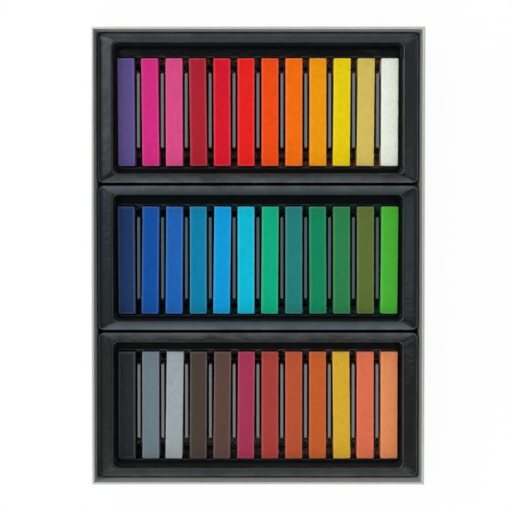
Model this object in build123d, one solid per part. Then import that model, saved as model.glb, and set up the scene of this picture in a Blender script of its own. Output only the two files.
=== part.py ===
"""Pastel drawer box: an open paper-covered board drawer that holds three black thermoformed
trays of twelve square pastel sticks.

Millimetres, +Z up. The origin is the centre of the drawer's underside, X runs across the
drawer, along each row of sticks, and Y runs along the drawer, along each stick.
"""
from build123d import *
from math import radians, tan
import os

# --- Pastel sticks ---------------------------------------------------------------------
stick_side = 10.0          # square section
stick_length = 64.0
stick_edge = 0.45          # small chamfer left by the mould on every edge
stick_pitch = 14.25        # from one stick to the next in a row

# Each row from left to right: the stick's name and how far it lies askew, in degrees.
warm_sticks = [
    ("violet", 0.4), ("magenta", 0.7), ("pink", 0.2), ("crimson", 0.7), ("red", 0.2), ("bright_red", 0),
    ("red_orange", 0), ("orange", 0), ("amber", 0), ("yellow", -0.4), ("tan", -0.5), ("off_white", -0.2),
]
cool_sticks = [
    ("navy", 0.4), ("blue", -0.6), ("mid_blue", -0.4), ("teal_blue", 0), ("azure", -0.7), ("cyan", 0),
    ("turquoise", -0.4), ("deep_teal", 0), ("emerald", 0.3), ("mid_green", 0.1), ("olive", 0),
    ("bright_green", -0.5),
]
earth_sticks = [
    ("charcoal", 0), ("slate", 0), ("light_grey", -0.8), ("dark_brown", -0.3), ("brown", -0.6),
    ("raspberry", -0.5), ("brick_red", 0), ("rust", 0), ("orange_brown", 0), ("mustard", 0.6),
    ("salmon", 0), ("peach", 0),
]

# --- Thermoformed tray -----------------------------------------------------------------
sheet = 0.7                # thickness of the formed plastic
draft = 2.0                # degrees, on every standing wall so that the tray leaves its mould
stick_clearance = 0.4      # round the outer sticks, at the pit's floor
seat_height = 1.0          # the sticks lie on a raised seat at each end
seat_width = 6.0
seat_ramp = 0.8            # how far a seat's side leans over its height
rib_length = 45.5
rib_width = 1.8            # across its top
rib_below_sticks = 1.0     # rib top to stick top
rib_corner = 0.6           # the rib's bevelled ends, in plan
rib_edge = 0.4             # and its bevelled top edge
ledge_below_sticks = 1.5   # ledge to stick top
ledge_side = 0.8           # flat ledge beside the outer sticks
ledge_back = 5.8           # past the sticks' far ends
ledge_front = 2.3          # and past their near ends
warm_ledge_back = 7.0      # the same in the warm tray, whose well is longer
warm_ledge_front = 3.7
crest_over_sticks = 7.2    # top of the frame over the stick tops
frame_drop = 1.3           # the frame falls away from its crest to its outer edge
frame_side = 9.0           # width of the frame at the row's ends
frame_end = 5.5            # and along the row
well_radius = 2.5          # upright corners
tray_radius = 3.4
pit_radius = 1.2
ridge_round = 5.0          # rounded edges, in section: the frame's mitred corners
crest_round = 1.1          # its crest
edge_round = 0.9           # its outer edge

# --- Paper-covered board drawer --------------------------------------------------------
board = 1.0
paper = 0.2
glue_film = 0.15           # also the thickness of the corner stays
tray_clearance = 0.3       # between the trays' feet, and from them to the walls
rim_over_crest = 6.0
fold = 0.3                 # radius of the wrap's folds at the rim and the upright corners
flap_width = 15.0          # the wrap turned under the base
bottom_inset = 2.0         # bottom sheet in from the drawer's outline
stay_leg = 12.0

# --- Worked out from the sizes above ---------------------------------------------------
lean = tan(radians(draft))
sticks_per_row = len(warm_sticks)
seat_top = sheet + seat_height
stick_top = seat_top + stick_side
ledge_z = stick_top - ledge_below_sticks
crest_z = stick_top + crest_over_sticks
edge_z = crest_z - frame_drop
trim_z = crest_z + frame_drop / 2    # the slopes run on up to here before the well is cut

row_length = (sticks_per_row - 1) * stick_pitch + stick_side
pit_size = (row_length + 2 * stick_clearance, stick_length + 2 * stick_clearance)


def grown(size, by):
    """Plan size made larger by the same amount on every side."""
    return (size[0] + 2 * by, size[1] + 2 * by)


pit_top_size = grown(pit_size, lean * (ledge_z - sheet))


class TrayForm:
    """Plan sizes of a tray at each level, worked outward from its pit."""

    def __init__(self, back, front):
        self.ledge = (pit_top_size[0] + 2 * ledge_side, pit_top_size[1] + back + front)
        self.well = grown(self.ledge, lean * (crest_z - ledge_z))
        self.edge = (self.well[0] + 2 * frame_side, self.well[1] + 2 * frame_end)
        self.foot = grown(self.edge, lean * edge_z)
        self.pit_y = (front - back) / 2


# Each tray, from the drawer's far end to its near end: its name, its sticks and its form.
warm_form = TrayForm(warm_ledge_back, warm_ledge_front)
plain_form = TrayForm(ledge_back, ledge_front)
trays = [
    ("warm_tray", warm_sticks, warm_form),
    ("cool_tray", cool_sticks, plain_form),
    ("earth_tray", earth_sticks, plain_form),
]

wrap_z = paper                       # the bottom sheet lies under the wrap's flaps
board_z = wrap_z + paper
floor_z = board_z + board + paper
rim_z = floor_z + crest_z + rim_over_crest
row_of_trays = sum(form.foot[1] + tray_clearance for _, _, form in trays)
inner_size = (plain_form.foot[0] + 2 * tray_clearance, row_of_trays + tray_clearance)
core_size = (inner_size[0] + 2 * paper, inner_size[1] + 2 * paper)
boards_size = (core_size[0] + 2 * board, core_size[1] + 2 * board)
film_size = (boards_size[0] + 2 * glue_film, boards_size[1] + 2 * glue_film)
outer_size = (film_size[0] + 2 * paper, film_size[1] + 2 * paper)


def block(size, z0, z1, x=0.0, y=0.0):
    """Upright box of plan size (x, y) from z0 to z1."""
    return Pos(x, y, z0) * Box(size[0], size[1], z1 - z0, align=(Align.CENTER, Align.CENTER, Align.MIN))


def tapered(size, z0, z1, run_x, run_y, y=0.0):
    """Flat-sided block with this plan size at z0, each side run in by so much at z1, above or below."""
    up = 1 if z1 > z0 else -1
    body = Solid.make_wedge(size[0], abs(z1 - z0), size[1], run_x, run_y, size[0] - run_x, size[1] - run_y)
    return Pos(-size[0] / 2, y + up * size[1] / 2, z0) * Rot(up * 90, 0, 0) * body


def drafted(size, z0, z1, radius, y=0.0):
    """Round-cornered block with this plan size at z0, its walls leaning in by the draft towards z1."""
    lean_in = lean * abs(z1 - z0)
    body = tapered(size, z0, z1, lean_in, lean_in, y)
    return fillet([edge for edge in body.edges() if abs(edge.tangent_at(0).Z) > 0.5], radius)


def hollow(floor_size, z0, z1, radius, y=0.0):
    """Round-cornered block to cut a hollow with: its floor size at z0, opening out up to z1."""
    return drafted(grown(floor_size, lean * (z1 - z0)), z1, z0, radius, y)


def edges_at(solid, z, above=0.01):
    """Edges that lie at height z, or up to so much above it."""
    return solid.edges().filter_by_position(Axis.Z, z - 0.01, z + above)


# --- The tray --------------------------------------------------------------------------
def hipped_block(form, top_z):
    """Block whose top slopes to all four sides as the frame does, with the frame's edge at top_z."""
    rise = trim_z - edge_z
    slopes = tapered(form.edge, top_z, top_z + rise, rise * frame_side / frame_drop, rise * frame_end / frame_drop)
    return block(form.foot, 0, top_z) + slopes


def tray_outside(form):
    """Skirt and sloping frame, with soft mitres at its corners."""
    outside = drafted(form.foot, 0, trim_z, tray_radius) & hipped_block(form, edge_z)
    mitres = []
    for edge in outside.edges().filter_by(GeomType.LINE):
        run = edge.tangent_at(0)
        if min(abs(run.X), abs(run.Y)) > 0.1:
            mitres.append(edge)
    return fillet(mitres, ridge_round)


def tray_recess(form, grow):
    """The well down to its ledge, and the pit from the ledge to the floor."""
    well = hollow(grown(form.ledge, grow), ledge_z - grow, trim_z, well_radius + grow)
    pit = hollow(grown(pit_size, grow), sheet - grow, ledge_z, pit_radius + grow, form.pit_y)
    return well + pit


def tray_underside(form):
    """The hollow under the frame and ledge, one sheet thickness inside the outer faces."""
    skirt = drafted(grown(form.foot, -sheet), 0, trim_z, tray_radius - sheet)
    return (skirt & hipped_block(form, edge_z - sheet)) - tray_recess(form, sheet)


def seat_bar(side, inset, length):
    """Cross seat along the row, from the pit's end wall to its ramp, and buried in the wall."""
    wall = side * (pit_size[1] + sheet) / 2 - side * inset
    ramp_top = side * (pit_size[1] / 2 - seat_width + inset)
    ramp_foot = ramp_top - side * seat_ramp
    section = Polyline((wall, 0), (wall, seat_height), (ramp_top, seat_height), (ramp_foot, 0), close=True)
    return extrude(Plane.YZ * make_face(section), length / 2, both=True)


def rib(x):
    """Upright rib with drafted sides, cut corners and a bevelled top edge."""
    top_z = stick_top - rib_below_sticks
    spread = 2 * lean * (top_z - sheet)
    plan = Rectangle(rib_width + spread, rib_length + spread)
    plan = Pos(x, 0, sheet) * chamfer(plan.vertices(), rib_corner)
    body = extrude(plan, top_z - sheet, taper=draft)
    return chamfer(edges_at(body, top_z), rib_edge)


def make_tray(form):
    tray = tray_outside(form) - tray_recess(form, 0)
    tray = fillet(edges_at(tray, crest_z, above=frame_drop / 2), crest_round)
    tray = fillet(edges_at(tray, edge_z, above=frame_drop / 4), edge_round)
    tray = tray - tray_underside(form)
    for side in (-1, 1):
        tray += Pos(0, form.pit_y, sheet) * seat_bar(side, 0, pit_size[0] + sheet)
        tray -= Pos(0, form.pit_y, 0) * seat_bar(side, sheet, pit_size[0] - sheet)
    for gap in range(sticks_per_row - 1):
        tray += rib((gap + 1 - sticks_per_row / 2) * stick_pitch)
    return tray


# --- Sticks ----------------------------------------------------------------------------
def make_stick():
    stick = Pos(0, 0, seat_top) * Box(stick_side, stick_length, stick_side,
                                      align=(Align.CENTER, Align.CENTER, Align.MIN))
    return chamfer(stick.edges(), stick_edge)


# --- Drawer ----------------------------------------------------------------------------
def drawer_parts():
    """Boards, wrap, linings and corner stays of the open drawer, by name."""
    board_top = rim_z - paper
    base_top = board_z + board
    wall_x = (core_size[0] + board) / 2
    wall_y = (core_size[1] + board) / 2
    parts = {
        "base_board": block(core_size, board_z, base_top),
        "left_wall_board": block((board, boards_size[1]), board_z, board_top, x=-wall_x),
        "right_wall_board": block((board, boards_size[1]), board_z, board_top, x=wall_x),
        "front_wall_board": block((core_size[0], board), board_z, board_top, y=-wall_y),
        "back_wall_board": block((core_size[0], board), board_z, board_top, y=wall_y),
        "bottom_sheet": block(grown(outer_size, -bottom_inset), 0, paper),
        "base_lining": block(inner_size, base_top, floor_z),
    }
    wrap = block(outer_size, wrap_z, rim_z)
    wrap = fillet(wrap.edges().filter_by(Axis.Z) + edges_at(wrap, rim_z), fold)
    wrap -= block(film_size, board_z, board_top)
    wrap -= block(grown(outer_size, -flap_width), wrap_z, board_z)
    wrap += block(core_size, base_top, board_top)
    wrap -= block(inner_size, base_top, rim_z)
    mouth = [edge for edge in edges_at(wrap, rim_z) if abs(edge.center().X) <= inner_size[0] / 2
             and abs(edge.center().Y) <= inner_size[1] / 2]
    parts["wall_wrap"] = fillet(mouth, fold)

    stay_ring = block(film_size, board_z, board_top) - block(boards_size, board_z, board_top)
    stays = []
    for sx in (-1, 1):
        for sy in (-1, 1):
            corner = block((2 * stay_leg, 2 * stay_leg), board_z, board_top,
                           x=sx * film_size[0] / 2, y=sy * film_size[1] / 2)
            stays.append((stay_ring & corner).solid())
    parts["corner_stays"] = Compound(stays)
    return parts


def build():
    """Every sub-part in its place, by name."""
    parts = drawer_parts()
    stick = make_stick()
    far_edge = inner_size[1] / 2 - tray_clearance
    for tray_name, sticks, form in trays:
        tray_y = far_edge - form.foot[1] / 2
        far_edge -= form.foot[1] + tray_clearance
        parts[tray_name] = Pos(0, tray_y, floor_z) * make_tray(form)
        for column, (shade, askew) in enumerate(sticks):
            stick_x = (column - (len(sticks) - 1) / 2) * stick_pitch
            place = Pos(stick_x, tray_y + form.pit_y, floor_z) * Rot(0, 0, askew)
            parts[shade + "_stick"] = place * stick
    return parts


os.makedirs("parts", exist_ok=True)
for name, shape in build().items():
    export_step(shape, f"parts/{name}.step")
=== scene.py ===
"""Dresses the pastel drawer box: chalk sticks, formed plastic trays, a paper-covered drawer, and the stage.

Everything is in metres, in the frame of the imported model. Run as a script, it builds the whole scene.
"""
import math

import bmesh
import bpy
from bpy.props import FloatProperty, FloatVectorProperty, IntProperty, PointerProperty
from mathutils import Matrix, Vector


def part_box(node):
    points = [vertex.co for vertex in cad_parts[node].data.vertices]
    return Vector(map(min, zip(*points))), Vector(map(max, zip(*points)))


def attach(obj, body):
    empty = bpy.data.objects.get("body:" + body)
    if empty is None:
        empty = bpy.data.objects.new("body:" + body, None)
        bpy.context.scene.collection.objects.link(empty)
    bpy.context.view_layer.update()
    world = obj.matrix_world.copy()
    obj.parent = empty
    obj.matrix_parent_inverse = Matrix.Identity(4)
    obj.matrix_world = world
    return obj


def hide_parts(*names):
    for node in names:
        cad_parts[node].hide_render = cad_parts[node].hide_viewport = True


bl_info = {
    "name": "Pastel drawer box",
    "version": (1, 0, 0),
    "blender": (4, 5, 0),
    "location": "3D View > Sidebar > Pastels",
    "description": "Models and finishes an open drawer of square pastel sticks in formed trays",
    "category": "Object",
}

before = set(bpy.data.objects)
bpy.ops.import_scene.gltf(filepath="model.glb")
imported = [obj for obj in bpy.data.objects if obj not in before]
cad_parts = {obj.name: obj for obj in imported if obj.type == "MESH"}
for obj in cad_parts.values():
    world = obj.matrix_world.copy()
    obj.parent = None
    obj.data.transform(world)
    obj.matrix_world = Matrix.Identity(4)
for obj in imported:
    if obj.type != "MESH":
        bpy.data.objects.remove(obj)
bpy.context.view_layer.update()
MM = 0.001
CLOSE = 1e-6                 # metres; places nearer than this count as the same
LEVEL = 0.99                 # least upright share of a level face's normal
BOARDS = ("base_board", "left_wall_board", "right_wall_board", "front_wall_board", "back_wall_board")

TRAYS = {
    "warm_tray": ("violet", "magenta", "pink", "crimson", "red", "bright_red", "red_orange", "orange",
                  "amber", "yellow", "tan", "off_white"),
    "cool_tray": ("navy", "blue", "mid_blue", "teal_blue", "azure", "cyan", "turquoise", "deep_teal",
                  "emerald", "mid_green", "olive", "bright_green"),
    "earth_tray": ("charcoal", "slate", "light_grey", "dark_brown", "brown", "raspberry", "brick_red",
                   "rust", "orange_brown", "mustard", "salmon", "peach"),
}

# Display colours of the sticks, as hexadecimal sRGB.
SHADES = {
    "violet": "5C4E8A", "magenta": "D0287E", "pink": "D44882", "crimson": "A81C2C", "red": "D01028",
    "bright_red": "E01C1A", "red_orange": "E84808", "orange": "EC6A00", "amber": "E69200",
    "yellow": "E0C600", "tan": "CEB75A", "off_white": "E7EADD",
    "navy": "1C3662", "blue": "0A4C9C", "mid_blue": "185EAC", "teal_blue": "007AA2", "azure": "0094D2",
    "cyan": "00B2CE", "turquoise": "00A67A", "deep_teal": "1E7874", "emerald": "088056",
    "mid_green": "267A46", "olive": "586A2E", "bright_green": "46AC32",
    "charcoal": "24292C", "slate": "6A7880", "light_grey": "98A0A4", "dark_brown": "463A34",
    "brown": "58403A", "raspberry": "9E3050", "brick_red": "A23A34", "rust": "B04E2E",
    "orange_brown": "BC5824", "mustard": "CFA22A", "salmon": "D66A4A", "peach": "DE8856",
}


def linear(code):
    """Linear colour of a hexadecimal sRGB code."""
    values = [int(code[i:i + 2], 16) / 255 for i in (0, 2, 4)]
    return [v / 12.92 if v <= 0.04045 else ((v + 0.055) / 1.055) ** 2.4 for v in values]


# --- Settings ----------------------------------------------------------------------------
def length(label, help_text, millimetres):
    """A length property, given in millimetres and kept in metres."""
    return FloatProperty(name=label, description=help_text, default=millimetres * MM, min=0.0,
                         unit="LENGTH", precision=5)


def colour(label, help_text, code):
    """A colour property from a hexadecimal sRGB code."""
    return FloatVectorProperty(name=label, description=help_text, default=linear(code), subtype="COLOR",
                               min=0.0, max=1.0)


def share(label, help_text, default):
    """A property between nothing and one."""
    return FloatProperty(name=label, description=help_text, default=default, min=0.0, max=1.0,
                         subtype="FACTOR")


class TraySizes(bpy.types.PropertyGroup):
    """Sizes and finish of the formed plastic trays."""
    sheet: length("Sheet", "Thickness of the formed sheet", 0.7)
    edge_z: length("Outer edge", "Height of the frame's outer edge over the tray's foot", 17.6)
    crest_z: length("Crest", "Height of the frame's crest", 18.9)
    ledge_z: length("Ledge", "Height of the ledge past the stick ends", 10.2)
    frame_side: length("Side frame", "Width of the frame at the row's ends", 9.0)
    frame_end: length("End frame", "Width of the frame along the row", 5.5)
    skirt_lean: length("Skirt lean", "How far the skirt leans in over its height", 0.615)
    well_lean: length("Well lean", "How far the well's wall leans in down to the ledge", 0.304)
    ledge_back: length("Far ledge", "Ledge past the far ends of the sticks", 5.8)
    ledge_front: length("Near ledge", "Ledge past the near ends of the sticks", 2.3)
    warm_ledge_back: length("Warm tray's far ledge", "The same in the warm tray, whose well is longer", 7.0)
    warm_ledge_front: length("Warm tray's near ledge", "The same in the warm tray", 3.7)
    ledge_side: length("Side ledge", "Ledge beside the outer sticks", 0.8)
    pit_lean: length("Pit lean", "How far the pit's wall leans in down to its floor", 0.332)
    corner: length("Corner", "Radius of the tray's corners in plan", 3.4)
    crest_round: length("Crest rounding", "Radius of the crest's edge", 1.1)
    edge_round: length("Edge rounding", "Radius of the outer edge", 0.9)
    root_round: length("Root rounding", "Radius where a wall meets the ledge or floor", 0.6)
    pit_round: length("Pit edge rounding", "Radius of the ledge's edge over the pit", 0.5)
    rib_length: length("Rib length", "Length of a rib at its top", 44.4)
    cool_rib_length: length("Cool tray's rib length", "The same in the cool tray, where it is longer", 48.9)
    rib_shift: length("Rib shift", "How far the ribs' middle lies off the tray's middle", 0.5)
    rib_width: length("Rib width", "Width of a rib at its top", 1.8)
    rib_z: length("Rib height", "Height of the rib tops over the tray's foot", 10.7)
    rib_lean: length("Rib lean", "How far a rib's side leans over its height", 0.35)
    seat_z: length("Seat height", "Height of the cross seats over the tray's foot", 1.7)
    seat_width: length("Seat width", "Width of a cross seat", 6.0)
    seat_ramp: length("Seat ramp", "Length of the seat's ramp", 0.8)
    seat_round: length("Seat rounding", "Radius of the seat's inner top edge", 0.5)
    rib_dust_and_tint_reach: length("Rib wear", "How far down a rib its chalky top reaches", 1.5)
    pitch: length("Pitch", "From one stick to the next", 14.25)
    plastic: colour("Plastic", "Colour of the black plastic", "090A0A")
    # Painted highlight: the lighter outer edge and crest of the trays, partly scuffing.
    scuff_and_highlight: colour("Scuffed edges", "Colour of the plastic's handled edges", "4A4E50")
    # Rib tops: chalk dust, tinted per tray with a painted reflection of the neighbouring sticks.
    warm_rib_dust_and_reflection: colour("Warm ribs", "Colour of the chalk-dusted rib tops in the warm tray", "706F73")
    cool_rib_dust_and_reflection: colour("Cool ribs", "The same in the cool tray", "4A585E")
    earth_rib_dust_and_reflection: colour("Earth ribs", "The same in the earth tray", "787779")
    # Seats: chalk dust, coloured per tray as a painted reflection of the sticks in the glossy plastic.
    warm_seat_dust_and_reflection: colour("Warm dust", "Chalk dust on the seats of the warm tray", "C08868")
    cool_seat_dust_and_reflection: colour("Cool dust", "Chalk dust on the seats of the cool tray", "4A9C98")
    earth_seat_dust_and_reflection: colour("Earth dust", "Chalk dust on the seats of the earth tray", "C0A098")
    warm_sheen: colour("Warm sheen", "Tint of the reflections in the warm tray", "EAF6FC")
    cool_sheen: colour("Cool sheen", "The same in the cool tray", "D2F0FC")
    earth_sheen: colour("Earth sheen", "The same in the earth tray", "ECF6FA")
    roughness: share("Roughness", "Roughness of the clean plastic", 0.13)


class StickSizes(bpy.types.PropertyGroup):
    """Sizes and finish of the pressed pastel sticks."""
    edge: length("Edge", "Width of the worn edge", 0.45)
    rings: IntProperty(name="Rings", description="Cross cuts along a stick", default=56, min=2)
    columns: IntProperty(name="Columns", description="Cuts across a stick's faces", default=7, min=1)
    wear: length("Wear", "How deep the worn edges are nibbled", 0.22)
    nibble: length("Nibble", "Size of one nibble", 1.4)
    swell: length("Swell", "Length of the faces' slow waves", 14.0)
    swell_depth: length("Swell depth", "Depth of the slow waves", 0.1)
    # Paler stick edges: rubbed chalk and a painted highlight.
    rub_and_highlight_reach: length("Rub reach", "How far in from an edge the chalk is rubbed", 0.7)
    dust_and_painted_light: share("Dust", "How much paler the rubbed edges are", 0.22)


class DrawerSizes(bpy.types.PropertyGroup):
    """Sizes and colours of the drawer's covering, boards and stays."""
    paper: length("Paper", "Thickness of the covering paper", 0.2)
    fold: length("Fold", "Radius of the paper's folds", 0.4)
    corner: length("Corner", "Radius of the drawer's upright corners", 0.5)
    flap: length("Flap", "Width of the paper turned under the base", 15.0)
    seam: length("Seam", "Width of the mitred seams on the rim", 0.16)
    seam_depth: length("Seam depth", "Depth of the seams", 0.14)
    lap: length("Lap", "From an upright corner to the edge of the overlapping paper", 0.9)
    pearl: colour("Pearl paper", "Colour of the covering paper", "D8DAD6")
    kraft: colour("Kraft tape", "Colour of the corner stays", "A07C50")
    card: colour("Grey board", "Colour of the board", "948C82")
    black: colour("Black paper", "Colour of the floor lining", "202122")


# --- Shader graphs -----------------------------------------------------------------------
PATTERNS = {                 # noise: scale per metre, detail, roughness
    "chalk_clouds": (260.0, 4.0, 0.55),
    "chalk_grain": (2600.0, 2.0, 0.7),
    "chalk_specks": (1100.0, 3.0, 0.6),
    "sheet_mottle": (420.0, 3.0, 0.6),
    "sheet_drift": (75.0, 3.0, 0.55),
    "rib_chalk": (3200.0, 2.0, 0.55),
    "seat_crumbs": (700.0, 4.0, 0.7),
    "paper_fibre": (900.0, 5.0, 0.7),
    "paper_cloud": (90.0, 3.0, 0.55),
    "board_fibre": (500.0, 6.0, 0.75),
}


class Wire:
    """A node's output, which takes part in sums like a number."""

    def __init__(self, graph, socket):
        self.graph = graph
        self.socket = socket

    def _sum(self, operation, left, right):
        return self.graph.add("ShaderNodeMath", {"operation": operation}, {0: left, 1: right})

    def __add__(self, other):
        return self._sum("ADD", self, other)

    def __radd__(self, other):
        return self._sum("ADD", other, self)

    def __sub__(self, other):
        return self._sum("SUBTRACT", self, other)

    def __rsub__(self, other):
        return self._sum("SUBTRACT", other, self)

    def __mul__(self, other):
        return self._sum("MULTIPLY", self, other)

    def __rmul__(self, other):
        return self._sum("MULTIPLY", other, self)


class Graph:
    """The nodes of one material or world."""

    def __init__(self, owner):
        owner.use_nodes = True
        self.tree = owner.node_tree
        self.tree.nodes.clear()

    def add(self, kind, settings=None, sockets=None, output=0):
        """Adds a node, sets it up, feeds its sockets and returns one output."""
        node = self.tree.nodes.new(kind)
        for name, value in (settings or {}).items():
            if name == "stops":
                self._set_stops(node.color_ramp, value)
            else:
                setattr(node, name, value)
        for name, value in (sockets or {}).items():
            if isinstance(value, Wire):
                self.tree.links.new(value.socket, node.inputs[name])
            else:
                node.inputs[name].default_value = value
        return Wire(self, node.outputs[output]) if len(node.outputs) else None

    @staticmethod
    def _set_stops(ramp, stops):
        while len(ramp.elements) < len(stops):
            ramp.elements.new(0.5)
        for element, (place, grey) in zip(ramp.elements, stops):
            element.position = place
            element.color = (grey, grey, grey, 1)

    def noise(self, where, pattern):
        """One of the noise patterns in PATTERNS."""
        scale, detail, roughness = PATTERNS[pattern]
        return self.add("ShaderNodeTexNoise", None,
                        {"Vector": where, "Scale": scale, "Detail": detail, "Roughness": roughness})

    def mark(self, name):
        """A number that was written at the mesh's vertices."""
        return self.add("ShaderNodeAttribute", {"attribute_name": name}, None, "Fac")

    def ramp(self, factor, *stops):
        """A grey ramp; each stop is its place and its level."""
        return self.add("ShaderNodeValToRGB", {"stops": stops}, {"Fac": factor})

    def mix(self, factor, first, second):
        """Blends two colours."""
        return self.add("ShaderNodeMix", {"data_type": "RGBA"}, {0: factor, 6: first, 7: second}, 2)

    def bump(self, height, strength, distance, under=None):
        """A bumped normal, over another one if that is given."""
        sockets = {"Height": height, "Strength": strength, "Distance": distance}
        if under is not None:
            sockets["Normal"] = under
        return self.add("ShaderNodeBump", None, sockets)

    def finish_surface(self, **sockets):
        """The main shader, with its sockets written with underscores, and the output."""
        named = {name.replace("_", " "): value for name, value in sockets.items()}
        shader = self.add("ShaderNodeBsdfPrincipled", None, named)
        self.add("ShaderNodeOutputMaterial", None, {"Surface": shader})


def rgba(rgb, level=1.0):
    """A colour for a socket, made lighter or darker by a level."""
    return (rgb[0] * level, rgb[1] * level, rgb[2] * level, 1.0)


def paler(rgb, white):
    """A colour with this share of white in it."""
    return rgba([v + (1.0 - v) * white for v in rgb])


def new_finish(name):
    """A new material, its graph and the place on the piece."""
    material = bpy.data.materials.new(name)
    graph = Graph(material)
    return material, graph, graph.add("ShaderNodeTexCoord", output="Object")


def pastel_chalk(shade, dust_and_painted_light):
    """Pressed chalk: fine grain, faint clouding and paler edges, part rubbed chalk and part painted
    highlight.
    """
    material, graph, here = new_finish(shade + "_chalk")
    rub = graph.mark("rub")
    base = linear(SHADES[shade])
    clouds = graph.noise(here, "chalk_clouds")
    grain = graph.noise(here, "chalk_grain")
    speck = graph.noise(here, "chalk_specks")
    grit = graph.ramp(0.6 * speck + 0.4 * clouds, (0.36, 0.0), (0.64, 1.0))
    tone = graph.mix(grit, rgba(base, level=0.90), rgba(base, level=1.08))
    tone = graph.mix(graph.ramp(speck, (0.60, 0.0), (0.80, 0.06)), tone, paler(base, white=0.2))
    # Paler edges: rubbed chalk and a painted highlight.
    tone = graph.mix(rub * (0.6 + speck * 0.8) * dust_and_painted_light, tone, paler(base, white=0.35))
    pressed = graph.bump(clouds, strength=0.15, distance=0.3 * MM)
    normal = graph.bump(grain, strength=0.30, distance=0.1 * MM, under=pressed)
    graph.finish_surface(Base_Color=tone, Roughness=0.9, Specular_IOR_Level=0.15, Normal=normal)
    return material


def tray_plastic(name, sizes, rub, dust_and_painted_light, sheen):
    """Glossy black formed sheet with a soft draw pattern; a lighter outer edge and crest, part scuffing and
    part painted highlight; chalk dust on the rib tops and seats, tinted with a painted reflection of the
    sticks.
    """
    material, graph, here = new_finish(name)
    mottle = graph.noise(here, "sheet_mottle")
    drift = graph.noise(here, "sheet_drift")
    skin = graph.noise(here, "rib_chalk")
    crumbs = graph.noise(here, "seat_crumbs")
    chalk_and_tint, seat_dust_and_reflection, edge = (graph.mark(mark_name) for mark_name in ("rib", "seat", "edge"))
    # Seats: chalk dust and a painted reflection of the sticks.
    seat_dust_and_reflection = seat_dust_and_reflection * graph.ramp(crumbs, (0.44, 0.1), (0.56, 1.0))
    # Painted highlight along the outer edge and crest, partly scuffing.
    scuff_and_highlight_mask = edge * graph.ramp(drift, (0.30, 0.3), (0.65, 1.0))
    tone = graph.mix(mottle, rgba(sizes.plastic, level=0.7), rgba(sizes.plastic, level=1.3))
    tone = graph.mix(scuff_and_highlight_mask, tone, rgba(sizes.scuff_and_highlight))
    tone = graph.mix(seat_dust_and_reflection, tone, rgba(dust_and_painted_light))
    # Rib tops: chalk dust with a painted reflection tint.
    tone = graph.mix(chalk_and_tint * (0.7 + skin * 0.4), tone, rgba(rub))
    clean = sizes.roughness + mottle * 0.07 + drift * 0.05
    gloss = clean + chalk_and_tint * 0.45 + seat_dust_and_reflection * 0.4
    waves = graph.bump(drift, strength=0.5, distance=0.8 * MM)
    normal = graph.bump(mottle, strength=0.6, distance=0.16 * MM, under=waves)
    graph.finish_surface(Base_Color=tone, Roughness=gloss, IOR=1.52, Specular_Tint=rgba(sheen), Normal=normal)
    return material


def covering_paper(name, rgb, sheen):
    """Smooth covering paper with faint fibres; sheen above zero gives it a pearl finish."""
    material, graph, here = new_finish(name)
    fibre = graph.noise(here, "paper_fibre")
    cloud = graph.noise(here, "paper_cloud")
    tone = graph.mix(cloud, rgba(rgb, level=0.95), rgba(rgb, level=1.03))
    tone = graph.mix(graph.ramp(fibre, (0.35, 0.12), (0.6, 0.0)), tone, rgba(rgb, level=0.7))
    roughness = 0.62 - 0.34 * sheen + 0.08 * fibre
    normal = graph.bump(fibre, strength=0.2, distance=0.06 * MM)
    graph.finish_surface(Base_Color=tone, Metallic=0.62 * sheen, Roughness=roughness, Normal=normal)
    return material


def raw_board(name, rgb):
    """Grey board or kraft strip with coarse fibres."""
    material, graph, here = new_finish(name)
    fibre = graph.noise(here, "board_fibre")
    coarse = graph.ramp(fibre, (0.3, 0.0), (0.7, 1.0))
    tone = graph.mix(coarse, rgba(rgb, level=0.8), rgba(rgb, level=1.15))
    normal = graph.bump(fibre, strength=0.4, distance=0.1 * MM)
    graph.finish_surface(Base_Color=tone, Roughness=0.9, Normal=normal)
    return material


# --- Modelling helpers -------------------------------------------------------------------
def choose(*pieces):
    """Selects only these pieces, the first one active."""
    bpy.ops.object.select_all(action="DESELECT")
    for piece in pieces:
        piece.select_set(True)
    bpy.context.view_layer.objects.active = pieces[0]


def start_cube(name, low, high):
    """A box between two corners, ready for shaping, with nothing else selected."""
    bpy.ops.object.select_all(action="DESELECT")
    low, high = Vector(low), Vector(high)
    bpy.ops.mesh.primitive_cube_add(size=1, location=(low + high) / 2, scale=high - low)
    bpy.ops.object.transform_apply(location=True, rotation=True, scale=True)
    piece = bpy.context.active_object
    piece.name = name
    piece.data.name = name
    return piece


def pick(piece, kind, test):
    """In edit mode, selects only the vertices, edges or faces that pass a test."""
    bpy.ops.mesh.select_mode(type={"verts": "VERT", "edges": "EDGE", "faces": "FACE"}[kind])
    bpy.ops.mesh.select_all(action="DESELECT")
    mesh = bmesh.from_edit_mesh(piece.data)
    for item in getattr(mesh, kind):
        item.select_set(test(item))
    mesh.select_flush_mode()
    bmesh.update_edit_mesh(piece.data)


def level_edge(z):
    """Test for an edge that lies at height z."""
    return lambda edge: all(abs(v.co.z - z) < CLOSE for v in edge.verts)


def folded_edge(z):
    """Test for an edge at height z where two faces meet at more than one radian."""
    def test(edge):
        return level_edge(z)(edge) and len(edge.link_faces) == 2 and edge.calc_face_angle(0) > 1
    return test


def facing(direction, z):
    """Test for a face at height z with its normal along +Z or -Z."""
    def test(face):
        return face.normal.z * direction > LEVEL and abs(face.calc_center_median().z - z) < CLOSE
    return test


def middle_face(z):
    """Test for a level face at height z with its centre over the Y axis."""
    def test(face):
        centre = face.calc_center_bounds()
        return abs(centre.z - z) < CLOSE and abs(centre.x) < 0.1 * MM and abs(face.normal.z) > LEVEL
    return test


def upright_edge(edge):
    """True for an edge that runs mostly up and down."""
    run = edge.verts[0].co - edge.verts[1].co
    return abs(run.z) > 0.9 * run.length


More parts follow.
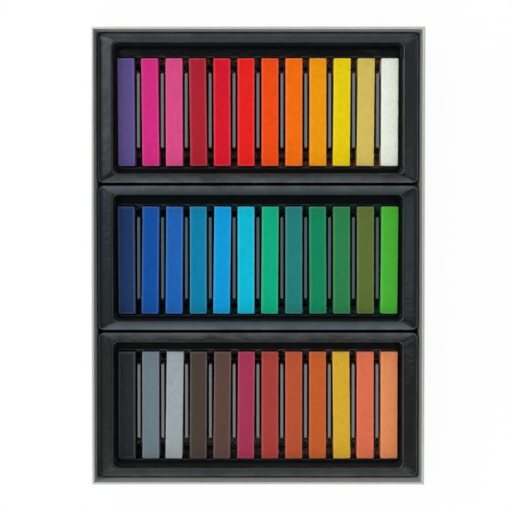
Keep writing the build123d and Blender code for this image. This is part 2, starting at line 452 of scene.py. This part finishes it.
def bevel(radius, segments, **settings):
    """Bevels the selected edges."""
    bpy.ops.mesh.bevel(offset=radius, segments=segments, affect="EDGES", **settings)


def step(face_size, new_size, rise, shift=0.0):
    """Extrudes the selected face up or down, scales and shifts it in plan, and returns its new size."""
    bpy.ops.mesh.extrude_region_move(TRANSFORM_OT_translate={"value": (0, shift, rise)})
    ratio = (new_size[0] / face_size[0], new_size[1] / face_size[1], 1)
    mesh = bmesh.from_edit_mesh(bpy.context.active_object.data)
    points = [v.co for v in mesh.verts if v.select]
    centre = sum(points, Vector()) / len(points)
    bpy.ops.transform.resize(value=ratio, center_override=centre)
    return new_size


def grown(size, by):
    """A size in plan with this much more on every side."""
    return (size[0] + 2 * by, size[1] + 2 * by)


def modify(piece, kind, **settings):
    """Adds a modifier and applies it."""
    choose(piece)
    modifier = piece.modifiers.new(kind.title(), kind)
    for name, value in settings.items():
        setattr(modifier, name, value)
    bpy.ops.object.modifier_apply(modifier=modifier.name)


def smooth(piece, degrees):
    """Shades a piece smooth, except over edges sharper than this."""
    choose(piece)
    bpy.ops.object.shade_smooth_by_angle(angle=math.radians(degrees))


def copy_of(piece, name, offset, turn=0.0):
    """A copy with its own mesh, turned about its own upright axis and moved, with the place in the mesh."""
    choose(piece)
    bpy.ops.object.duplicate(linked=False)
    copy = bpy.context.active_object
    copy.name = name
    copy.data.name = name
    copy.rotation_euler = (0, 0, turn)
    copy.location = offset
    bpy.ops.object.transform_apply(location=True, rotation=True, scale=True)
    return copy


def dress(piece, material, body, slot, *nodes):
    """Gives a piece its material, body and the nodes that it stands for; the slot is not used."""
    piece.data.materials.clear()
    piece.data.materials.append(material)
    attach(piece, body)
    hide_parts(*nodes)


def repaint(node, material):
    """Gives a carried-over node a new material."""
    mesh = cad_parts[node].data
    mesh.materials.clear()
    mesh.materials.append(material)


def mark(piece, name, value):
    """Writes a number at each vertex, worked out from the vertex's place."""
    layer = piece.data.attributes.new(name, "FLOAT", "POINT")
    for vertex, item in zip(piece.data.vertices, layer.data):
        item.value = value(vertex.co)


# --- Sticks ------------------------------------------------------------------------------
def plain_stick(sizes, size):
    """One stick at the origin: bevelled, cut into rings, its edges marked."""
    width, depth = size[0], size[1]
    half = Vector(size) / 2
    stick = start_cube("stick_pattern", -half, half)
    bpy.ops.object.mode_set(mode="EDIT")
    bpy.ops.mesh.select_all(action="SELECT")
    bevel(sizes.edge, 3, offset_type="WIDTH")
    pick(stick, "edges", lambda e: e.calc_length() > 0.8 * depth)
    bpy.ops.mesh.subdivide(number_cuts=sizes.rings)
    pick(stick, "edges", lambda e: 0.8 * width < e.calc_length() < 1.1 * width)
    bpy.ops.mesh.subdivide(number_cuts=sizes.columns)
    bpy.ops.object.mode_set(mode="OBJECT")

    # Edge mask for the paler, partly painted highlight, and for the worn group.
    def rub(place):
        """One on the edges and corners, nothing on the open faces."""
        near = sorted(h - abs(c) for h, c in zip(half, place))
        return max(0.0, 1.0 - near[1] / sizes.rub_and_highlight_reach)

    mark(stick, "rub", rub)
    group = stick.vertex_groups.new(name="worn")
    for vertex in stick.data.vertices:
        group.add([vertex.index], rub(vertex.co), "REPLACE")
    return stick


def stick_place(node):
    """Centre of a stick's node and how far it is turned about its upright axis."""
    low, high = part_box(node)
    centre = (low + high) / 2
    far = [v.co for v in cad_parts[node].data.vertices if v.co.y > high.y - 2 * MM]
    tip = sum(far, Vector()) / len(far) - centre
    return centre, math.atan2(-tip.x, tip.y)


class PASTEL_OT_sticks(bpy.types.Operator):
    """Model the pressed pastel sticks and lay each one in its place."""
    bl_idname = "pastel.sticks"
    bl_label = "Pastel sticks"

    def execute(self, context):
        sizes = context.scene.stick_sizes
        low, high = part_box("charcoal_stick")
        pattern = plain_stick(sizes, high - low)
        nibbles = bpy.data.textures.new("stick_nibbles", "CLOUDS")
        nibbles.noise_scale = sizes.nibble
        nibbles.noise_depth = 2
        swell = bpy.data.textures.new("stick_swell", "CLOUDS")
        swell.noise_scale = sizes.swell
        for shades in TRAYS.values():
            for shade in shades:
                node = shade + "_stick"
                centre, turn = stick_place(node)
                stick = copy_of(pattern, shade + "_pastel", centre, turn)
                modify(stick, "DISPLACE", texture=nibbles, texture_coords="GLOBAL", strength=-2 * sizes.wear,
                       mid_level=0.45, vertex_group="worn")
                modify(stick, "DISPLACE", texture=swell, texture_coords="GLOBAL", strength=sizes.swell_depth,
                       mid_level=0.6)
                stick.vertex_groups.clear()
                smooth(stick, 40)
                dress(stick, pastel_chalk(shade, sizes.dust_and_painted_light), node, shade + "_pastel", node)
        bpy.data.objects.remove(pattern)
        return {"FINISHED"}


# --- Trays -------------------------------------------------------------------------------
def tray_shell(sizes, foot, far_ledge, near_ledge):
    """The formed sheet round its well and pit, without its ribs, with its foot at z = 0."""
    half = (foot[0] / 2, foot[1] / 2)
    shell = start_cube("tray_pattern", (-half[0], -half[1], 0), (half[0], half[1], sizes.edge_z))
    edge = grown(foot, -sizes.skirt_lean)
    well = (edge[0] - 2 * sizes.frame_side, edge[1] - 2 * sizes.frame_end)
    ledge = grown(well, -sizes.well_lean)
    pit = (ledge[0] - 2 * sizes.ledge_side, ledge[1] - far_ledge - near_ledge)
    floor = grown(pit, -sizes.pit_lean)
    pit_y = (near_ledge - far_ledge) / 2
    bpy.ops.object.mode_set(mode="EDIT")
    pick(shell, "faces", facing(1, sizes.edge_z))
    bpy.ops.transform.resize(value=(edge[0] / foot[0], edge[1] / foot[1], 1), center_override=(0, 0, 0))
    pick(shell, "edges", upright_edge)
    bevel(sizes.corner, 8)
    pick(shell, "faces", facing(1, sizes.edge_z))
    size = step(edge, well, sizes.crest_z - sizes.edge_z)
    size = step(size, ledge, sizes.ledge_z - sizes.crest_z)
    size = step(size, pit, 0.0, pit_y)
    step(size, floor, sizes.sheet - sizes.ledge_z)
    pick(shell, "faces", facing(-1, 0.0))
    bpy.ops.mesh.delete(type="FACE")
    bpy.ops.object.mode_set(mode="OBJECT")
    modify(shell, "SOLIDIFY", thickness=sizes.sheet, offset=-1, use_even_offset=True)

    bpy.ops.object.mode_set(mode="EDIT")
    loops = ((sizes.crest_z, sizes.crest_round, 6), (sizes.edge_z, sizes.edge_round, 6),
             (sizes.sheet, sizes.root_round, 4))
    for z, radius, segments in loops:
        pick(shell, "edges", level_edge(z))
        bevel(radius, segments, clamp_overlap=True)
    reach = grown(pit, 0.01 * MM)

    def ledge_edge(by_pit):
        """Test for the ledge's edges over the pit, or for those at the well's wall."""
        def test(edge_item):
            middle = (edge_item.verts[0].co + edge_item.verts[1].co) / 2
            held = abs(middle.x) < reach[0] / 2 and abs(middle.y - pit_y) < reach[1] / 2
            return level_edge(sizes.ledge_z)(edge_item) and held == by_pit
        return test

    pick(shell, "edges", ledge_edge(True))
    bevel(sizes.pit_round, 4, clamp_overlap=True)
    pick(shell, "edges", ledge_edge(False))
    bevel(0.5 * sizes.root_round, 3, clamp_overlap=True)
    bpy.ops.object.mode_set(mode="OBJECT")
    return shell, floor, pit_y


def rib(sizes, x, y, rib_length):
    """One round-ended, round-topped rib, sunk a little into the pit's floor."""
    half = (sizes.rib_width / 2 + sizes.rib_lean, rib_length / 2 + sizes.rib_lean)
    sunk = 0.6 * sizes.sheet
    piece = start_cube("rib", (x - half[0], y - half[1], sunk), (x + half[0], y + half[1], sizes.rib_z))
    bpy.ops.object.mode_set(mode="EDIT")
    pick(piece, "faces", facing(1, sizes.rib_z))
    ratio = (0.5 * sizes.rib_width / half[0], 0.5 * rib_length / half[1], 1)
    bpy.ops.transform.resize(value=ratio, center_override=(x, y, 0))
    pick(piece, "edges", upright_edge)
    bevel(0.46 * sizes.rib_width, 6)
    pick(piece, "edges", level_edge(sizes.rib_z))
    bevel(0.30 * sizes.rib_width, 4)
    bpy.ops.object.mode_set(mode="OBJECT")
    return piece


def cross_seat(sizes, floor, pit_y, side):
    """A raised seat across one end of the pit, its inner side a ramp."""
    wall = pit_y + side * (floor[1] / 2 + 0.5 * sizes.sheet)
    inner = pit_y + side * (floor[1] / 2 - sizes.seat_width)
    low_y, high_y = min(wall, inner), max(wall, inner)
    reach = floor[0] / 2 + 0.5 * sizes.sheet
    piece = start_cube("seat", (-reach, low_y, 0.5 * sizes.sheet), (reach, high_y, sizes.seat_z))
    bpy.ops.object.mode_set(mode="EDIT")

    def at_inner(edge_item):
        """True for an edge on the seat's inner side."""
        return all(abs(v.co.y - inner) < CLOSE for v in edge_item.verts)

    pick(piece, "edges", lambda e: at_inner(e) and all(v.co.z < sizes.sheet for v in e.verts))
    bpy.ops.transform.translate(value=(0, -side * sizes.seat_ramp, 0))
    pick(piece, "edges", lambda e: at_inner(e) and level_edge(sizes.seat_z)(e))
    bevel(sizes.seat_round, 4)
    bpy.ops.object.mode_set(mode="OBJECT")
    return piece


def joined(pieces):
    """Several pieces as one object."""
    choose(*pieces)
    bpy.ops.object.join()
    return bpy.context.active_object


def inset(place, size, corner):
    """How far a point lies inside an upright rounded rectangle round the Z axis."""
    over = [max(0.0, abs(c) - s / 2 + corner) for c, s in zip(place, size)]
    return corner - math.hypot(*over)


def whole_tray(sizes, name, far_ledge, near_ledge, rib_length, rib_y):
    """A tray in its place, with its outer edge and crest (scuffing and painted highlight), its rib tops and
    its seats (chalk dust with a painted reflection tint) marked.
    """
    low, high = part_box(name)
    foot = high - low
    shell, floor, pit_y = tray_shell(sizes, foot, far_ledge, near_ledge)
    gaps = len(TRAYS[name]) - 1
    inner = [rib(sizes, (i - (gaps - 1) / 2) * sizes.pitch, rib_y, rib_length) for i in range(gaps)]
    inner += [cross_seat(sizes, floor, pit_y, side) for side in (-1, 1)]
    bars = joined(inner)
    modify(shell, "BOOLEAN", operation="UNION", solver="EXACT", use_self=True, object=bars)
    bpy.data.objects.remove(bars)
    outline = grown(foot, -sizes.skirt_lean)
    crest = (outline[0] - 2 * sizes.frame_side, outline[1] - 2 * sizes.frame_end)
    span = (gaps / 2) * sizes.pitch
    seat_start = floor[1] / 2 - sizes.seat_width - sizes.seat_ramp

    def on_rib(place):
        """How far up a rib's top this point is, where chalk dust and a painted reflection tint lie."""
        beside = abs(place.x) > span or abs(place.y - rib_y) > rib_length / 2 + 0.5 * MM
        if beside or place.z < sizes.seat_z:
            return 0.0
        return max(0.0, 1.0 - (sizes.rib_z - place.z) / sizes.rib_dust_and_tint_reach)

    def on_seat(place):
        """One over a seat in the pit, nothing past its ramp."""
        in_pit = abs(place.x) < floor[0] / 2 and abs(place.y - pit_y) < floor[1] / 2
        past = abs(place.y - pit_y) - seat_start
        return float(in_pit and past > 0 and place.z < sizes.seat_z + 0.1 * MM)

    # Where the painted highlight goes: full on the outer edge, fainter on the crest.
    def on_edge(place):
        """One along the outer edge and the crest."""
        if place.z < sizes.edge_z - 0.6 * sizes.edge_round:
            return 0.0
        outer = inset(place, outline, sizes.corner) < 0.9 * sizes.edge_round
        inner_line = abs(inset(place, crest, 0.9 * sizes.corner)) < 0.5 * sizes.crest_round
        return 1.0 if outer else 0.3 * inner_line

    mark(shell, "rib", on_rib)
    mark(shell, "seat", on_seat)
    mark(shell, "edge", on_edge)
    smooth(shell, 30)
    modify(shell, "WEIGHTED_NORMAL", keep_sharp=True)
    centre = (low + high) / 2
    piece = copy_of(shell, name + "_formed", (centre.x, centre.y, low.z))
    bpy.data.objects.remove(shell)
    return piece


class PASTEL_OT_trays(bpy.types.Operator):
    """Model the formed trays, each with its own ledges, ribs, and chalk dust with painted reflections of the
    sticks.
    """
    bl_idname = "pastel.trays"
    bl_label = "Formed trays"

    def execute(self, context):
        sizes = context.scene.tray_sizes
        forms = {            # far ledge, near ledge, rib length, the ribs' middle
            "warm": (sizes.warm_ledge_back, sizes.warm_ledge_front, sizes.rib_length, -sizes.rib_shift),
            "cool": (sizes.ledge_back, sizes.ledge_front, sizes.cool_rib_length, -sizes.rib_shift),
            "earth": (sizes.ledge_back, sizes.ledge_front, sizes.rib_length, sizes.rib_shift),
        }
        finishes = {         # rib tops: dust with a painted reflection tint; seats: dust with a painted reflection of the sticks; tint of the reflections
            "warm": (sizes.warm_rib_dust_and_reflection, sizes.warm_seat_dust_and_reflection, sizes.warm_sheen),
            "cool": (sizes.cool_rib_dust_and_reflection, sizes.cool_seat_dust_and_reflection, sizes.cool_sheen),
            "earth": (sizes.earth_rib_dust_and_reflection, sizes.earth_seat_dust_and_reflection, sizes.earth_sheen),
        }
        for kind, form in forms.items():
            tray = kind + "_tray"
            piece = whole_tray(sizes, tray, *form)
            dress(piece, tray_plastic(kind + "_plastic", sizes, *finishes[kind]), tray, "black_tray", tray)
        return {"FINISHED"}


# --- Drawer ------------------------------------------------------------------------------
def seam_blades(sizes, low, high, inner):
    """Thin blades that cut the mitred seams into the rim and the laps into the short walls."""
    blades = []
    wall = (high.x - low.x - inner[0]) / 2
    half_seam = Vector((wall, sizes.seam / 2, sizes.seam_depth))
    for sx in (-1, 1):
        for sy in (-1, 1):
            corner = Vector((sx * high.x, sy * high.y, high.z))
            blade = start_cube("blade", -half_seam, half_seam)
            blade.rotation_euler = (0, 0, math.radians(45) * sx * sy)
            blade.location = corner - Vector((sx * wall / 2, sy * wall / 2, 0))
            bpy.ops.object.transform_apply(location=True, rotation=True, scale=True)
            blades.append(blade)
            lap_x = sx * (high.x - sizes.lap)
            near_corner = (lap_x - sizes.seam / 3, corner.y - sizes.seam_depth / 2, low.z - MM)
            far_corner = (lap_x + sizes.seam / 3, corner.y + sizes.seam_depth / 2, high.z + MM)
            blades.append(start_cube("lap", near_corner, far_corner))
    return joined(blades)


def paper_wrap(sizes):
    """The covering paper: outside, over the rim, down the inside and turned under the base."""
    low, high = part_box("wall_wrap")
    lining_low, lining_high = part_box("base_lining")
    outer = (high.x - low.x, high.y - low.y)
    inner = (lining_high.x - lining_low.x, lining_high.y - lining_low.y)
    wrap = start_cube("paper_wrap", low, high)
    bpy.ops.object.mode_set(mode="EDIT")
    pick(wrap, "edges", upright_edge)
    bevel(sizes.corner, 4)
    pick(wrap, "faces", facing(1, high.z))
    size = step(outer, inner, 0.0)
    step(size, inner, lining_high.z - high.z)
    pick(wrap, "faces", facing(-1, low.z))
    step(outer, grown(outer, -sizes.flap), 0.0)
    pick(wrap, "faces", lambda f: middle_face(low.z)(f) or middle_face(lining_high.z)(f))
    bpy.ops.mesh.delete(type="FACE")
    for z in (high.z, low.z):
        pick(wrap, "edges", folded_edge(z))
        bevel(sizes.fold, 4)
    bpy.ops.object.mode_set(mode="OBJECT")
    modify(wrap, "SOLIDIFY", thickness=sizes.paper, offset=-1, use_even_offset=True)
    blades = seam_blades(sizes, low, high, inner)
    modify(wrap, "BOOLEAN", operation="DIFFERENCE", solver="EXACT", object=blades)
    bpy.data.objects.remove(blades)
    smooth(wrap, 35)
    return wrap


class PASTEL_OT_drawer(bpy.types.Operator):
    """Model the drawer's paper wrap, and finish its boards, linings and corner stays."""
    bl_idname = "pastel.drawer"
    bl_label = "Paper-covered drawer"

    def execute(self, context):
        sizes = context.scene.drawer_sizes
        pearl = covering_paper("pearl_paper", sizes.pearl, 1.0)
        wrap = paper_wrap(sizes)
        dress(wrap, pearl, "drawer", "pearl_paper", "wall_wrap")
        repaint("bottom_sheet", covering_paper("bottom_paper", sizes.pearl, 0.4))
        repaint("base_lining", covering_paper("lining_paper", sizes.black, 0.0))
        repaint("corner_stays", raw_board("kraft_tape", sizes.kraft))
        card = raw_board("grey_board", sizes.card)
        for node in BOARDS:
            repaint(node, card)
        return {"FINISHED"}


# --- Stage -------------------------------------------------------------------------------
CAMERA_PLACE = (-0.0012, 0.030, 0.4933)
CAMERA_TILT = -0.8           # degrees, towards the near end
CAMERA_SHIFT = -0.0781       # the photograph is framed round the drawer, and taken from over the warm tray
LENS = 56.7
SENSOR = 36.0
SOFTBOX_SIZE = 0.9
SOFTBOXES = {                # place, power in watts, colour
    "far_softbox": ((-0.80, 0.55, 0.85), 2.6, (1.0, 1.0, 1.0)),
    "near_softbox": ((0.0, -1.0, 0.85), 2.4, (0.90, 0.96, 1.0)),
}
FLOOR_SIZE = 40.0
FLOOR_TONE = 0.9
FLOOR_GLOW = 0.93            # share of the floor's own glow, where the camera or a reflection sees it
DOME = {                     # ramps over the direction: place, level
    "side": ((0.28, 0.0), (0.38, 1.0)),
    "left_panel": ((0.36, 0.35), (0.46, 0.40), (0.54, 0.9)),
    "right_panel": ((0.41, 0.12), (0.44, 1.0), (0.50, 1.0), (0.54, 0.32)),
    "far": ((0.26, 0.0), (0.32, 1.0)),
    "near": ((0.33, 0.0), (0.40, 1.0)),
    "low": ((0.50, 1.0), (0.72, 0.0)),
    "horizon": ((0.03, 1.0), (0.12, 0.0)),
}
LEFT_LEVEL = 1.5
RIGHT_LEVEL = 1.3
FAR_LEVEL = 1.15
OVERHEAD_LEVEL = 0.03
ROOM_LEVEL = 0.95
ROOM_LEAN = 0.45             # how much brighter the room is to the left, and darker to the right


def studio_world(world):
    """A pale dome with a dark patch overhead, round the camera, and its brightest side on the left."""
    graph = Graph(world)
    way = graph.add("ShaderNodeTexCoord", output="Generated")
    across, along, up = (graph.add("ShaderNodeSeparateXYZ", None, {0: way}, axis) for axis in range(3))
    spread = along * 0.5 + 0.5
    left = graph.ramp(0 - across, *DOME["side"]) * graph.ramp(spread, *DOME["left_panel"]) * LEFT_LEVEL
    right = graph.ramp(across, *DOME["side"]) * graph.ramp(spread, *DOME["right_panel"]) * RIGHT_LEVEL
    far = graph.ramp(along, *DOME["far"]) * FAR_LEVEL
    near = graph.ramp(0 - along, *DOME["near"])
    room = ROOM_LEVEL - ROOM_LEAN * across
    low = graph.ramp(up, *DOME["low"])
    horizon = graph.ramp(up, *DOME["horizon"])
    sky = low * room + (1 - low) * (OVERHEAD_LEVEL + left + right + far + near)
    level = horizon + (1 - horizon) * sky
    light = graph.add("ShaderNodeBackground", None, {"Color": (1, 1, 1, 1), "Strength": level})
    graph.add("ShaderNodeOutputWorld", None, {"Surface": light})


def pale_floor(material):
    """White floor that stays white for the camera and keeps a faint shadow."""
    graph = Graph(material)
    paint = graph.add("ShaderNodeBsdfDiffuse", None, {"Color": (FLOOR_TONE, FLOOR_TONE, FLOOR_TONE, 1)})
    glow = graph.add("ShaderNodeEmission", None, {"Color": (1, 1, 1, 1), "Strength": 1.0})
    seen = (graph.add("ShaderNodeLightPath", output="Is Camera Ray")
            + graph.add("ShaderNodeLightPath", output="Is Glossy Ray")
            + graph.add("ShaderNodeLightPath", output="Is Transmission Ray"))
    surface = graph.add("ShaderNodeMixShader", None, {0: seen * FLOOR_GLOW, 1: paint, 2: glow})
    graph.add("ShaderNodeOutputMaterial", None, {"Surface": surface})


class PASTEL_OT_stage(bpy.types.Operator):
    """Lay the floor and set the soft studio light and the overhead camera."""
    bl_idname = "pastel.stage"
    bl_label = "Stage"

    def execute(self, context):
        scene = context.scene
        scene.view_settings.view_transform = "Standard"
        bpy.ops.object.select_all(action="DESELECT")
        bpy.ops.mesh.primitive_plane_add(size=FLOOR_SIZE, location=(0, 0, 0))
        floor = context.active_object
        floor.name = "floor"
        white = bpy.data.materials.new("white_floor")
        pale_floor(white)
        floor.data.materials.append(white)

        world = bpy.data.worlds.new("studio")
        scene.world = world
        studio_world(world)

        for name, (place, power, tint) in SOFTBOXES.items():
            bpy.ops.object.light_add(type="AREA", location=place)
            lamp = context.active_object
            lamp.name = name
            lamp.data.shape = "SQUARE"
            lamp.data.size = SOFTBOX_SIZE
            lamp.data.energy = power
            lamp.data.color = tint
            lamp.rotation_euler = (-Vector(place)).to_track_quat("-Z", "Y").to_euler()

        bpy.ops.object.camera_add(location=CAMERA_PLACE, rotation=(math.radians(CAMERA_TILT), 0, 0))
        camera = context.active_object
        camera.data.sensor_width = SENSOR
        camera.data.lens = LENS
        camera.data.shift_y = CAMERA_SHIFT
        scene.camera = camera
        return {"FINISHED"}


class PASTEL_PT_panel(bpy.types.Panel):
    """Lists the steps that build the pastel drawer box."""
    bl_idname = "PASTEL_PT_panel"
    bl_label = "Pastel drawer box"
    bl_space_type = "VIEW_3D"
    bl_region_type = "UI"
    bl_category = "Pastels"

    def draw(self, context):
        for operator in OPERATORS:
            self.layout.operator(operator.bl_idname)
        for group in ("stick_sizes", "tray_sizes", "drawer_sizes"):
            settings = getattr(context.scene, group)
            box = self.layout.box()
            for name in settings.__annotations__:
                box.prop(settings, name)


OPERATORS = (PASTEL_OT_sticks, PASTEL_OT_trays, PASTEL_OT_drawer, PASTEL_OT_stage)
SETTINGS = {"stick_sizes": StickSizes, "tray_sizes": TraySizes, "drawer_sizes": DrawerSizes}


def register():
    for group in SETTINGS.values():
        bpy.utils.register_class(group)
    for name, group in SETTINGS.items():
        setattr(bpy.types.Scene, name, PointerProperty(type=group))
    for operator in OPERATORS:
        bpy.utils.register_class(operator)
    bpy.utils.register_class(PASTEL_PT_panel)


def unregister():
    bpy.utils.unregister_class(PASTEL_PT_panel)
    for operator in reversed(OPERATORS):
        bpy.utils.unregister_class(operator)
    for name, group in SETTINGS.items():
        delattr(bpy.types.Scene, name)
        bpy.utils.unregister_class(group)


def main():
    register()
    bpy.ops.pastel.sticks()
    bpy.ops.pastel.trays()
    bpy.ops.pastel.drawer()
    bpy.ops.pastel.stage()


if __name__ == "__main__":
    main()
